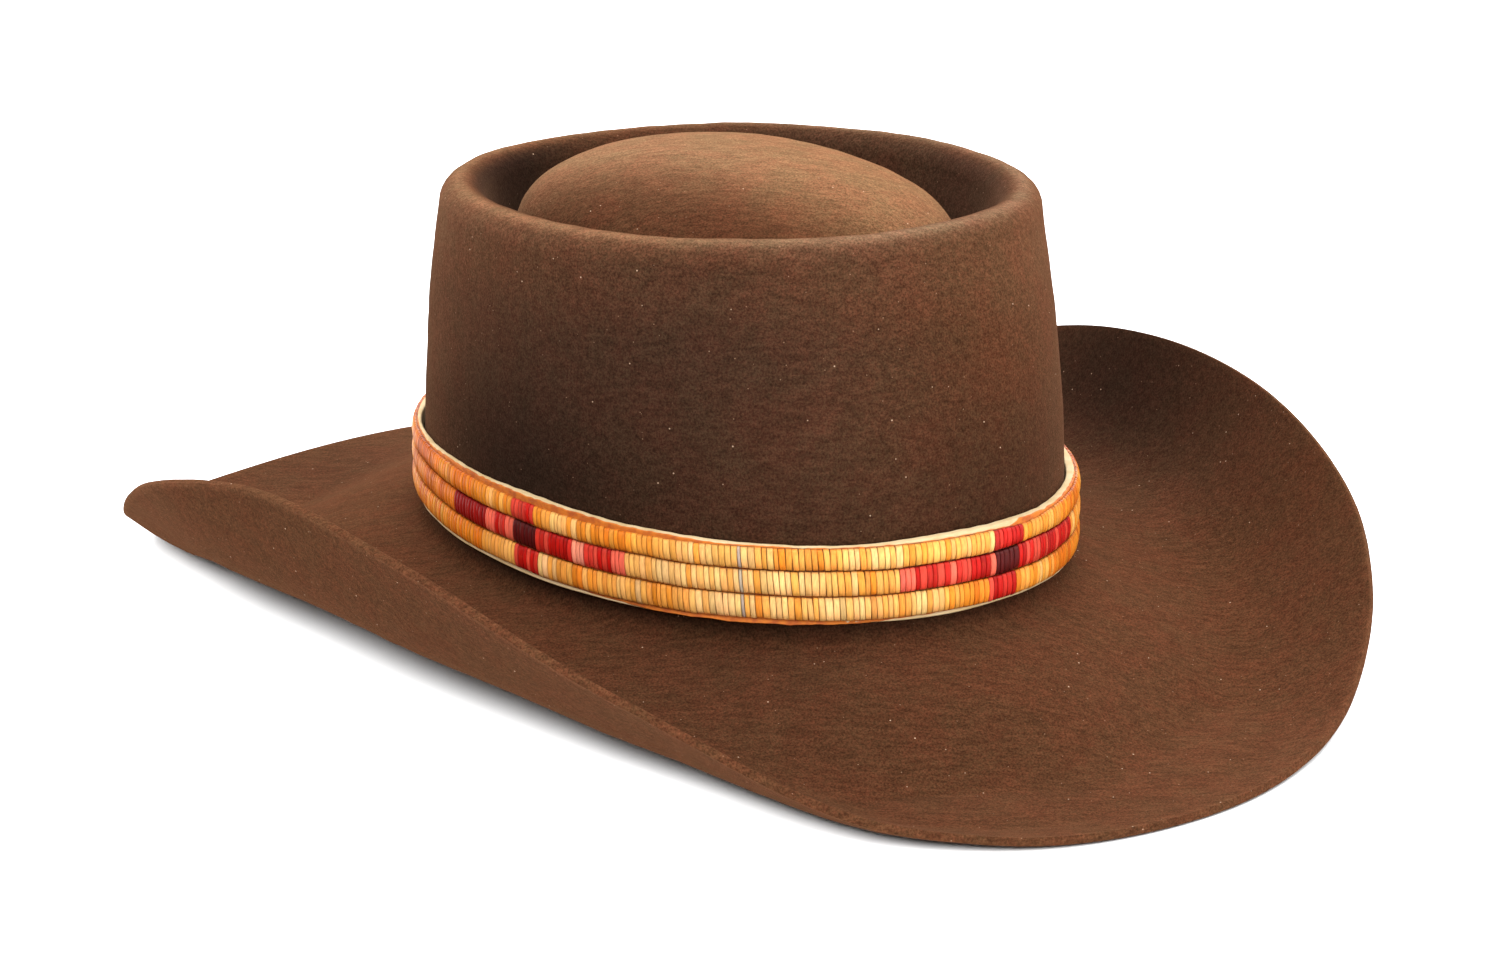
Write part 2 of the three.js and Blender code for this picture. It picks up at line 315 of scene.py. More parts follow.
def oval(half_length, half_width, turn):
    """A ring of points, with the turn counted from the front towards -X."""
    power = 2 / OVAL_POWER
    across, along = np.sin(turn), np.cos(turn)
    x = -half_width * np.sign(across) * np.abs(across) ** power
    y = -half_length * np.sign(along) * np.abs(along) ** power
    return np.stack([x, y], -1)


def oval_offset(half_length, half_width, turn, out):
    """The same oval, moved out along its own normal."""
    step = 1e-4
    along = oval(half_length, half_width, turn + step) - oval(half_length, half_width, turn - step)
    along /= np.linalg.norm(along, axis=-1, keepdims=True)
    normal = np.stack([-along[..., 1], along[..., 0]], -1)
    return oval(half_length, half_width, turn) + normal * np.asarray(out)[..., None]


def around_brim(column, turn):
    """A smooth closed ring of values through the brim sections of both sides."""
    values = BRIM_SECTIONS[column]
    ring = np.array(values + values[-2:0:-1], float)
    place = np.mod(turn / FULL_TURN, 1) * len(ring)
    first = np.floor(place).astype(int)
    a, b, c, d = (ring[(first + k) % len(ring)] for k in (-1, 0, 1, 2))
    f = place - first
    return b + 0.5 * f * (c - a + f * (2 * a - 5 * b + 4 * c - d + f * (3 * (b - c) + d - a)))


def lip_top(turn):
    return LIP_HEIGHT + LIP_FRONT_RISE * np.cos(turn)


def brim_controls(turn):
    """The four control points of the brim's middle line: reach from the crown and height."""
    reach = BRIM_REACH * around_brim("reach", turn)
    lift = RIGHT_RIM_LIFT * np.sin(turn) * np.abs(np.sin(turn))
    rise = SIDE_RISE * around_brim("rise", turn) + lift
    start = np.stack([0 * reach, BREAK_HEIGHT + 0 * reach], -1)
    end = np.stack([reach, rise], -1)
    chord = np.linalg.norm(end - start, axis=-1)
    slopes = [np.radians(around_brim(column, turn)) for column in ("start", "end")]
    pulls = [INNER_PULL * chord, -OUTER_PULL * chord]
    handles = [
        base + pull[..., None] * np.stack([np.cos(slope), np.sin(slope)], -1)
        for base, pull, slope in zip((start, end), pulls, slopes)
    ]
    return start, handles[0], handles[1], end


def brim_line(share, turn):
    start, inner, outer, end = brim_controls(turn)
    s = np.asarray(share)[..., None]
    return (1 - s) ** 3 * start + 3 * (1 - s) ** 2 * s * inner + 3 * (1 - s) * s**2 * outer + s**3 * end


def break_share(turn):
    """Share of the brim's line that the rounded break at the crown takes up."""
    start, _, _, end = brim_controls(turn)
    return BREAK_RADIUS / (3 * INNER_PULL * np.linalg.norm(end - start, axis=-1))


def placed(flat, height):
    return np.concatenate([flat, np.broadcast_to(height, flat.shape[:-1])[..., None]], -1)


def wall_point(height, turn, out):
    """Outer face of the crown wall at a height, moved out along its normal."""
    share = (height - BREAK_HEIGHT) / (lip_top(turn) - LIP_RADIUS - BREAK_HEIGHT)
    length = CROWN_LENGTH + (TOP_LENGTH - CROWN_LENGTH) * share
    width = CROWN_WIDTH + (TOP_WIDTH - CROWN_WIDTH) * share
    bulge = WALL_BULGE * np.cos(turn) ** 2 * np.sin(np.pi * share)
    flat = oval_offset(length / 2, width / 2, turn, bulge + out)
    flat[..., 1] += TOP_SET_BACK * share
    return placed(flat, height)


def top_point(out, turn, height):
    flat = oval_offset(TOP_LENGTH / 2 + 0 * turn, TOP_WIDTH / 2 + 0 * turn, turn, out)
    flat[..., 1] += TOP_SET_BACK
    return placed(flat, height)


LIP_MIDDLE_RADIUS = LIP_RADIUS - FELT / 2
VALLEY_MIDDLE_RADIUS = VALLEY_RADIUS + FELT / 2
INNER_WALL_OUT = -LIP_RADIUS - LIP_MIDDLE_RADIUS
VALLEY_OUT = INNER_WALL_OUT - INNER_LEAN - VALLEY_MIDDLE_RADIUS


def valley_height(turn):
    return lip_top(turn) - MOAT_DEPTH + VALLEY_RADIUS


def dome_point(share, turn):
    """The dome leans towards the back and right of the hat, and is fuller at the back."""
    angle = share * np.pi / 2
    height = np.maximum(np.cos(angle), 0)
    dome_out = VALLEY_OUT - VALLEY_MIDDLE_RADIUS
    edge = top_point(dome_out + 0 * turn, turn, valley_height(turn))
    centre = np.array([0, TOP_SET_BACK, LIP_HEIGHT - MOAT_DEPTH + VALLEY_RADIUS])
    rise = DOME_ABOVE_LIP + MOAT_DEPTH - VALLEY_RADIUS - FELT / 2
    point = centre + (edge - centre) * np.sin(angle)[..., None]
    back = point[..., 1] - TOP_SET_BACK
    fuller = 1 + DOME_BACK_FULLNESS * back / (TOP_LENGTH / 2 + dome_out)
    point[..., 2] += rise * fuller * height**DOME_FULLNESS
    point[..., 0] -= DOME_SET_RIGHT * height
    point[..., 1] += DOME_SET_BACK * height
    return point


def valley_point(share, turn):
    angle = (share - 1) * np.pi
    out = VALLEY_OUT + VALLEY_MIDDLE_RADIUS * np.cos(angle)
    return top_point(out, turn, valley_height(turn) + VALLEY_MIDDLE_RADIUS * np.sin(angle))


def inner_wall_point(share, turn):
    low, high = valley_height(turn), lip_top(turn) - LIP_RADIUS
    return top_point(INNER_WALL_OUT - INNER_LEAN * (1 - share), turn, low + (high - low) * share)


def lip_point(share, turn):
    angle = (1 - share) * np.pi
    out = -LIP_RADIUS + LIP_MIDDLE_RADIUS * np.cos(angle)
    return top_point(out, turn, lip_top(turn) - LIP_RADIUS + LIP_MIDDLE_RADIUS * np.sin(angle))


def outer_wall_point(share, turn):
    top = lip_top(turn) - LIP_RADIUS
    height = top + (BREAK_HEIGHT + BREAK_RADIUS - top) * share
    return wall_point(height, turn, -FELT / 2)


def base_point(place, turn):
    """A point out from the crown's base; felt that reaches the floor lies flat on it."""
    flat = oval_offset(CROWN_LENGTH / 2 + 0 * turn, CROWN_WIDTH / 2 + 0 * turn, turn, place[..., 0])
    return placed(flat, np.maximum(place[..., 1], FELT / 2))


def break_point(share, turn):
    top = wall_point(BREAK_HEIGHT + BREAK_RADIUS + 0 * turn, turn, -FELT / 2)
    corner = np.stack([-FELT / 2 + 0 * turn, BREAK_HEIGHT + 0 * turn], -1)
    foot = base_point(corner, turn)
    end = base_point(brim_line(break_share(turn), turn), turn)
    s = share[..., None]
    return (1 - s) ** 2 * top + 2 * s * (1 - s) * foot + s**2 * end


def brim_point(share, turn):
    start = break_share(turn)
    return base_point(brim_line(start + (1 - start) * share, turn), turn)


# The felt's stretches from the top of the dome out to the brim's edge, with their steps
STRETCHES = (
    (dome_point, 30),
    (valley_point, 10),
    (inner_wall_point, 8),
    (lip_point, 14),
    (outer_wall_point, 26),
    (break_point, 8),
    (brim_point, 60),
)


def middle_point(place, turn):
    """A point on the felt's middle surface; place counts stretches from the dome's top."""
    place, turn = np.broadcast_arrays(place, turn)
    point = np.zeros(place.shape + (3,))
    index = np.minimum(place.astype(int), len(STRETCHES) - 1)
    for k, (stretch, _) in enumerate(STRETCHES):
        here = index == k
        if here.any():
            point[here] = stretch(place[here] - k, turn[here])
    return point


def unit(vectors):
    return vectors / np.linalg.norm(vectors, axis=-1, keepdims=True)


def middle_frame(place, turn):
    """Unit normal of the middle surface, towards the outside of the hat, and its outward direction."""
    step = 1e-3
    low = np.maximum(place - step, 0)
    high = np.minimum(place + step, len(STRETCHES))
    outwards = middle_point(high, turn) - middle_point(low, turn)
    around = middle_point(place, turn + step) - middle_point(place, turn - step)
    return unit(np.cross(around, outwards)), unit(outwards)


def waves(points, length, seed, count=14):
    """Smooth seeded unevenness about 0, mostly within 2, with features of the given length."""
    rng = np.random.default_rng(seed)
    directions = unit(rng.normal(size=(count, 3))) / (length * rng.uniform(0.7, 1.5, (count, 1)))
    phases = rng.uniform(0, FULL_TURN, count)
    return np.sin(FULL_TURN * (points @ directions.T) + phases).sum(-1) / math.sqrt(count / 2)


def smooth(low, high, value):
    share = np.clip((value - low) / (high - low), 0, 1)
    return share * share * (3 - 2 * share)


def between(fades, value):
    """1 between two fades, and 0 outside them."""
    return smooth(*fades[0], value) * (1 - smooth(*fades[1], value))


def degrees_past(turn, degrees=0):
    """How far a turn lies past one given in degrees, from -180 to 180 degrees."""
    return np.mod(np.degrees(turn) - degrees + 180, 360) - 180


def along_level(points, direction):
    """How far the points lie in a level direction."""
    return points[..., 0] * direction[0] + points[..., 1] * direction[1]


def ring_turns(count):
    return np.arange(count) / count * FULL_TURN


def with_alpha(colours):
    return np.concatenate([colours, np.ones(colours.shape[:-1] + (1,))], -1)


def mesh_object(name, points, faces, material, tints=None):
    mesh = bpy.data.meshes.new(name)
    mesh.from_pydata(np.asarray(points).reshape(-1, 3).tolist(), [], faces)
    mesh.validate()
    mesh.polygons.foreach_set("use_smooth", [True] * len(mesh.polygons))
    if tints is not None:
        layer = mesh.color_attributes.new("tint", "FLOAT_COLOR", "POINT")
        layer.data.foreach_set("color", np.asarray(tints, np.float32).ravel())
    mesh.materials.append(material)
    mesh.update()
    piece = bpy.data.objects.new(name, mesh)
    bpy.context.scene.collection.objects.link(piece)
    return piece


def dress(piece, node):
    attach(piece, "root")
    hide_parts(node)


def quads_between(first, second, count):
    """Quads between two closed rings of points that start at these indices."""
    i = np.arange(count)
    j = (i + 1) % count
    return np.stack([first + i, first + j, second + j, second + i], -1)


# Felt


def felt_unevenness(points, place):
    """How far the felt stands off its even shape; nothing under the band and on the floor."""
    wave = sum(size * waves(points, length, seed) for size, length, seed in FELT_WAVES)
    height = points[..., 2]
    off_band = smooth(*BAND_FADE, np.abs(height - (LEATHER_BOTTOM + LEATHER_TOP) / 2))
    off_floor = smooth(*FLOOR_FADE, height)
    on_brim = place >= len(STRETCHES) - 1
    return wave * np.where(on_brim, off_floor, off_band)


def felt_painted_light(points, place, turn):
    """Colour factor of painted light and shade: painted light on the dome and the lip, painted shade in
    the moat and on the wall below, and patches of both.
    """
    far, right = along_level(points, VIEW_AWAY), along_level(points, VIEW_RIGHT)
    dome = 1 + DOME_PAINTED_LIGHT * smooth(*DOME_FADE, far + DOME_FADE_SKEW * right)
    moat = MOAT_PAINTED_SHADE + MOAT_LEFT_PAINTED_SHADE * smooth(*MOAT_END_FADE, -right)
    moat += MOAT_RIGHT_PAINTED_SHADE * smooth(*MOAT_END_FADE, right)
    factor = np.where(place < 1, dome, 1) * (1 - moat * between(MOAT_FADES, place))
    factor *= 1 + sum(
        paler * np.exp(-(((place - centre) / reach) ** 2)) for centre, reach, paler in LIP_PAINTED_HIGHLIGHTS
    )
    factor *= 1 - WALL_PAINTED_SHADE * between(WALL_FADES, place)
    # patches of painted light and painted shade
    for centre, degrees, reach, spread, amount in FELT_PAINTED_LIGHT_PATCHES:
        away = degrees_past(turn, degrees)
        factor *= 1 + amount * np.exp(-((place - centre) / reach) ** 2 - (away / spread) ** 2)
    return factor


def felt_warmth(points, place):
    """How much redder the felt is: most on the brim, less on the crown's top and its wall's right."""
    far, right = along_level(points, VIEW_AWAY), along_level(points, VIEW_RIGHT)
    brim = smooth(*BRIM_FADE, place)
    top = 1 - smooth(*TOP_FADE, place)
    dome = 1 - smooth(*DOME_EDGE_FADE, place)
    wall = (1 - brim) * (1 - top)
    far_brim = smooth(*FAR_BRIM_FADE, far) * smooth(*RIGHT_BRIM_FADE, right)
    right_top = RIGHT_DOME_REDDER * dome + RIGHT_MOAT_REDDER * (top - dome)
    warmth = brim * (1 - FAR_BRIM_LESS * far_brim) + TOP_REDDER * top
    warmth += right_top * smooth(*RIGHT_TOP_FADE, right)
    return warmth + RIGHT_WALL_REDDER * wall * smooth(*RIGHT_WALL_FADE, right)


def felt_rings():
    """Rings of points over the outer face, round the cut edge and back over the inner face."""
    turn = ring_turns(FELT_COLUMNS)
    places = [k + (i + 1) / steps for k, (_, steps) in enumerate(STRETCHES) for i in range(steps)]
    place, turn = np.meshgrid(places, turn, indexing="ij")
    middle = middle_point(place, turn)
    normal, outwards = middle_frame(place, turn)
    middle = middle + normal * felt_unevenness(middle, place)[..., None]
    angles = np.linspace(np.pi / 2, -np.pi / 2, RIM_STEPS + 1)[:, None, None]
    lift = np.sign(np.sin(angles)) * np.abs(np.sin(angles)) ** RIM_LIFT_POWER * FELT / 2
    out = np.maximum(np.cos(angles), 0) ** RIM_OUT_POWER * RIM_ROUNDING
    rim = middle[-1] + normal[-1] * lift + outwards[-1] * out
    outer = middle + normal * FELT / 2
    inner = middle - normal * FELT / 2
    # painted light and shade on the felt, as a factor on its colour
    factor = felt_painted_light(middle, place, turn)
    # painted highlight round the cut edge; painted shade over the underside
    rim_highlight = np.repeat(factor[-1:], RIM_STEPS + 1, axis=0) * RIM_PAINTED_HIGHLIGHT
    underside_shade = np.full(factor[:-1].shape, UNDERSIDE_PAINTED_SHADE)
    warmth = felt_warmth(middle, place)
    rim_warmth = np.repeat(warmth[-1:], RIM_STEPS + 1, axis=0)
    rings = np.concatenate([outer[:-1], rim, inner[-2::-1]])
    factor = np.concatenate([factor[:-1], rim_highlight, underside_shade])
    warmth = np.concatenate([warmth[:-1], rim_warmth, UNDERSIDE_REDDER * warmth[-2::-1]])
    return rings, factor, warmth


def felt_poles():
    """The dome's top on the outer face and on the inner one."""
    top = middle_point(np.array(0.0), np.array(0.0))
    normal, _ = middle_frame(np.array([1e-3]), np.array([0.3]))
    return [top + normal[0] * side * FELT / 2 for side in (1, -1)]


def make_felt(material):
    rings, factor, warmth = felt_rings()
    count = FELT_COLUMNS
    points = np.concatenate([rings.reshape(-1, 3), felt_poles()]) + SHAPE_SHIFT
    starts = np.arange(len(rings)) * count
    faces = [quads_between(first, second, count) for first, second in zip(starts, starts[1:])]
    faces = np.concatenate(faces).tolist()
    last = int(starts[-1])
    for i in range(count):
        j = (i + 1) % count
        faces.append([len(points) - 2, j, i])
        faces.append([len(points) - 1, last + i, last + j])
    top_factor = [factor[0].mean(), 1]
    factor = np.concatenate([factor.ravel(), top_factor])[:, None]
    warmth = np.concatenate([warmth.ravel(), [warmth[0].mean()] * 2])[:, None]
    # the painted light and shade, with the felt's redness, go into the tint
    shades = factor ** np.where(factor > 1, PAINTED_LIGHT_POWERS, PAINTED_SHADE_POWERS) * TINT_UNIT
    shades *= 1 - warmth * REDNESS_TAKES
    piece = mesh_object("felt", points, faces, material, with_alpha(shades))
    dress(piece, "felt_body")


# Hatband


def band_ring(section, turn):
    """Points of a ring on the crown wall; section gives places out and heights, each over the turns."""
    return np.stack([wall_point(height + 0 * turn, turn, out + 0 * turn) for out, height in section])


def closed_ring_faces(rows, count):
    faces = [quads_between(k * count, (k + 1) % rows * count, count) for k in range(rows)]
    return np.concatenate(faces).tolist()


def band_wave(turn, size, length, seed):
    return size * waves(wall_point(LEATHER_TOP + 0 * turn, turn, 0 * turn), length, seed)


def swell(turn, degrees, spread, size=1):
    """The size at a turn given in degrees, falling away smoothly to both sides."""
    return size * np.exp(-((degrees_past(turn, degrees) / spread) ** 2))


def band_tilt(turn):
    return BAND_TILT * np.cos(turn - math.radians(BAND_TILT_TURN))


def hug(turn):
    """How much closer the band lies to the crown on the hat's right."""
    return swell(turn, *HUG)


def leather_top(turn):
    uneven = sum(band_wave(turn, *wave) for wave in LEATHER_TOP_WAVES)
    rise = sum(swell(turn, *place) for place in LEATHER_RISES)
    return LEATHER_TOP + LEATHER_TOP_TILT * band_tilt(turn) + rise + uneven


def leather_foot(turn):
    """Height of the leather's bottom edge, before its unevenness."""
    return LEATHER_BOTTOM + LEATHER_BOTTOM_TILT * band_tilt(turn)


def rounded_section(inner, outer, bottom, top, rounding, steps=4):
    """A section from its inner top over the top and down, with rounded corners."""
    section = []
    corners = (
        (inner, top, np.pi),
        (outer, top, np.pi / 2),
        (outer, bottom, 0),
        (inner, bottom, -np.pi / 2),
    )
    for out, height, first in corners:
        side = 1 if out is inner else -1
        level = -1 if height is top else 1
        for k in range(steps + 1):
            angle = first - k / steps * np.pi / 2
            section.append((
                out + side * rounding + rounding * np.cos(angle),
                height + level * rounding + rounding * np.sin(angle),
            ))
    return section


def flared(section, flare, outer, knee):
    """The section with its outer bottom corner moved out, and a point above on the outer face."""
    corner = len(section) // 4
    foot = slice(2 * corner, 3 * corner)
    section[foot] = [(out + flare, height) for out, height in section[foot]]
    section.insert(foot.start, (outer, knee))
    return section


def make_leather(material):
    turn = ring_turns(BAND_COLUMNS)
    loose = swell(turn, *LEATHER_LOOSE) + LEATHER_LOOSENESS + band_wave(turn, *LEATHER_LOOSE_WAVE)
    inner = LEATHER_INNER - HUG_INSIDE * hug(turn) + np.maximum(loose, 0)
    outer = LEATHER_OUTER - hug(turn) + band_wave(turn, *LEATHER_FACE_WAVE)
    bottom = leather_foot(turn) + band_wave(turn, *LEATHER_BOTTOM_WAVE)
    section = rounded_section(inner, outer, bottom, leather_top(turn), LEATHER_ROUNDING)
    rings = band_ring(flared(section, LEATHER_FLARE, outer, bottom + LEATHER_KNEE), turn)
    top_edge = smooth(*LEATHER_TOP_FADE, rings[..., 2] - leather_top(turn))
    shade = (1 - LEATHER_TOP_SHADE * top_edge) * (1 - swell(turn, *LEATHER_SHADE))
    tints = with_alpha(shade[..., None] * LEATHER_SHADE_COLOUR)
    faces = closed_ring_faces(len(rings), BAND_COLUMNS)
    piece = mesh_object("leather_band", rings + SHAPE_SHIFT, faces, material, tints)
    dress(piece, "band_backing")


def row_lines(turn):
    """Heights of the four lines that bound the three rows, from the bottom up."""
    tilt = band_tilt(turn)
    bottom = ROWS_BOTTOM + tilt + band_wave(turn, *ROWS_BOTTOM_WAVE)
    dip = sum(swell(turn, *place) for place in ROWS_TOP_DIPS)
    top = ROWS_TOP + tilt - dip + band_wave(turn, *ROWS_TOP_WAVE)
    lines = [bottom]
    share = 0
    for row_share, wave in zip(ROW_SHARES, ROW_LINE_WAVES):
        share += row_share
        lines.append(bottom + (ROWS_TOP + tilt - bottom) * share + band_wave(turn, *wave))
    return lines + [top]


def make_mat(material):
    turn = ring_turns(BAND_COLUMNS)
    first, *_, last = row_lines(turn)
    bare = sum(swell(turn, *place) for place in BARE_MAT)
    bare += LEFT_BARE_MAT * between(LEFT_BARE_MAT_FADES, -degrees_past(turn))
    top = np.minimum(last + bare, leather_top(turn)) - MAT_TOP_INSET + band_wave(turn, *MAT_TOP_WAVE)
    low = swell(turn, *LOW_MAT)
    bottom = np.maximum(first - MAT_INSET - MAT_DROP * low, leather_foot(turn) + MAT_INSET)
    bottom += band_wave(turn, *MAT_BOTTOM_WAVE)
    inner, outer = MAT_INNER - hug(turn), MAT_OUTER - hug(turn)
    section = rounded_section(inner, outer, bottom, top, MAT_ROUNDING)
    knee = np.maximum(first, bottom + MAT_KNEE)
    rings = band_ring(flared(section, MAT_FLARE * low, outer, knee), turn)
    heights = rings[..., 2]
    # painted shade under the quills, showing in the row gaps, with the dark thread of the joints
    under_quill_shade = smooth(*MAT_COVER_FADE, heights - first) * smooth(*MAT_COVER_FADE, last - heights)
    tints = with_alpha(np.repeat(under_quill_shade[..., None], 3, axis=-1))
    faces = closed_ring_faces(len(rings), BAND_COLUMNS)
    piece = mesh_object("quill_mat_strip", rings + SHAPE_SHIFT, faces, material, tints)
    dress(piece, "quill_mat")


def linear(red, green, blue):
    """A colour given in 8-bit sRGB, in linear light."""
    share = np.array([red, green, blue]) / 255
    return np.where(share < 0.04045, share / 12.92, ((share + 0.055) / 1.055) ** 2.4)


GOLDS = np.array([
    linear(252, 204, 132),
    linear(249, 177, 86),
    linear(242, 148, 44),
    linear(228, 119, 24),
    linear(200, 95, 20),
])
DYES = {
    "red": linear(204, 24, 16),
    "crimson": linear(156, 14, 9),
    "pink": linear(246, 108, 84),
    "pale_pink": linear(250, 150, 120),
    "plum": linear(84, 14, 13),
    "thread": linear(188, 172, 152),
}


def row_stretches(charts, around):
    """Lengths of one colour once round a row from the front thread; the back mirrors the front."""
    stretches = []
    for k, chart in enumerate(charts):
        ends = [0] + [end * MM for end, _ in chart] + [around / 4 - THREAD_WIDTH / 2]
        names = [name for _, name in chart] + ["gold"]
        quarter = [(last - first, name) for first, last, name in zip(ends, ends[1:], names)]
        half = quarter + quarter[::-1]
        stretches += [(THREAD_WIDTH, "thread")] + (half if k == 0 else half[::-1])
    return stretches


def lay_quills(charts, around, rng):
    """Width and colour name of every quill round a row."""
    widths, names = [], []
    for length, name in row_stretches(charts, around):
        count = 1 if name == "thread" else max(1, round(length / QUILL_WIDTH))
        shares = np.clip(rng.normal(1, WIDTH_SPREAD, count), *WIDTH_RANGE)
        widths += (shares / shares.sum() * length).tolist()
        names += [name] * count
    return np.array(widths), names


def quill_tints(names, places, turns, deepening, rng):
    """A colour for each quill; gold gets deeper towards the sides, red leans to pink or crimson."""
    count = len(names)
    degrees = degrees_past(turns)
    right_front, right_side, left_front = deepening
    level = GOLD_LEVEL + right_front * smooth(*RIGHT_FRONT_FADE, degrees)
    level += right_side * smooth(*RIGHT_SIDE_FADE, degrees)
    level += left_front * smooth(*LEFT_FRONT_FADE, -degrees)
    line = places[:, None] * np.array([1, 0, 0])
    level += GOLD_WAVE * waves(line, GOLD_WAVE_LENGTH, GOLD_WAVE_SEED + count)
    level += rng.normal(0, GOLD_LEVEL_SPREAD, count)
    level = np.clip(level, 0, len(GOLDS) - 1.001)
    first = level.astype(int)
    share = (level - first)[:, None]
    tints = GOLDS[first] * (1 - share) + GOLDS[first + 1] * share
    leans = np.clip(rng.normal(0, RED_LEAN_SPREAD, count), *RED_LEAN_RANGE)
    for k, (name, lean) in enumerate(zip(names, leans)):
        if name != "gold":
            tints[k] = DYES[name]
        if name == "red":
            tints[k] += abs(lean) * (DYES["pink" if lean > 0 else "crimson"] - DYES["red"])
    # painted shade towards the hat's left
    tints *= 1 - LEFT_SHADE * smooth(*LEFT_SHADE_FADE, -degrees)[:, None]
    tints *= rng.normal(1, BRIGHTNESS_SPREAD, (count, 1))
    return tints * rng.normal(1, HUE_SPREAD, (count, 3))


def turn_of_arc():
    """Places along the band's face and the turns there, from before the front thread once round."""
    start = -0.1
    turn = THREAD_TURN + np.linspace(start, FULL_TURN, ARC_STEPS + 1)
    points = wall_point((ROWS_BOTTOM + ROWS_TOP) / 2 + 0 * turn, turn, QUILL_CREST + 0 * turn)
    arc = np.concatenate([[0], np.cumsum(np.linalg.norm(np.diff(points, axis=0), axis=-1))])
    return arc - np.interp(THREAD_TURN, turn, arc), turn


def quill_points(index, widths, centres, arc, turns, rng):
    """Points of a row's quills: loop after loop up each quill, which curves over from line to line."""
    count = len(widths)
    across, up = QUILL_ACROSS[None, None, :], QUILL_UP[None, :, None]
    tilt = rng.normal(0, TILT_SPREAD, count) * widths
    half = (widths - QUILL_SPACING) / 2
    place = across * half[:, None, None] + (up - 0.5) * tilt[:, None, None]
    turn = np.interp(centres[:, None, None] + place, arc, turns)
    lines = row_lines(turn)
    ends = rng.normal(0, END_SPREAD, (2, count, 1, 1))
    low = lines[index] + ROW_GAP / 2 + ends[0]
    high = lines[index + 1] - ROW_GAP / 2 + ends[1]
    height = low + (high - low) * up
    rise = rng.normal(1, CREST_SPREAD, count)
    hump = (QUILL_CREST - QUILL_CROWNING - QUILL_EDGE) * quill_hump() * rise[:, None]
    face = QUILL_EDGE + hump[:, :, None] + QUILL_CROWNING * QUILL_FACE
    back = np.full(face.shape[:2] + (2,), QUILL_BACK)
    return wall_point(height, turn, np.concatenate([face, back], -1) - hug(turn))


def quill_hump():
    """How far each loop of a quill stands out, from 0 at its ends to 1."""
    return np.sin(np.pi * QUILL_UP) ** 0.5


def quill_faces(count):
    """Faces of that many quills, each a closed tube of loops with a face at either end."""
    loops, around = len(QUILL_UP), len(QUILL_ACROSS)
    loop = np.arange(around)
    starts = np.arange(loops) * around
    walls = [quads_between(low, high, around) for low, high in zip(starts, starts[1:])]
    walls = np.concatenate(walls)
    faces = []
    for base in np.arange(count) * loops * around:
        faces += (walls + base).tolist()
        faces.append((base + loop[::-1]).tolist())
        faces.append((base + starts[-1] + loop).tolist())
    return faces


def make_row(index, name, material):
    """A row of flattened quills, each a closed strip."""
    rng = np.random.default_rng(QUILL_SEED + index)
    arc, turns = turn_of_arc()
    widths, names = lay_quills(ROW_CHARTS[name], arc[-1], rng)
    centres = np.cumsum(widths) - widths / 2 - THREAD_WIDTH / 2
    points = quill_points(index, widths, centres, arc, turns, rng)
    tints = quill_tints(names, centres, np.interp(centres, arc, turns), GOLD_DEEPENING[name], rng)
    # painted shade at each quill's ends, where the rows meet, and across it at its sides and back
    end_shading = 1 - (1 - quill_hump())[None, :, None, None] * QUILL_END_SHADE
    shades = tints[:, None, None, :] * end_shading * QUILL_SHADES[None, None, :, None]
    colours = with_alpha(np.broadcast_to(shades, points.shape))
    faces = quill_faces(len(names))
    piece = mesh_object(name + "_quills", points + SHAPE_SHIFT, faces, material, colours)
    dress(piece, name)


# Materials


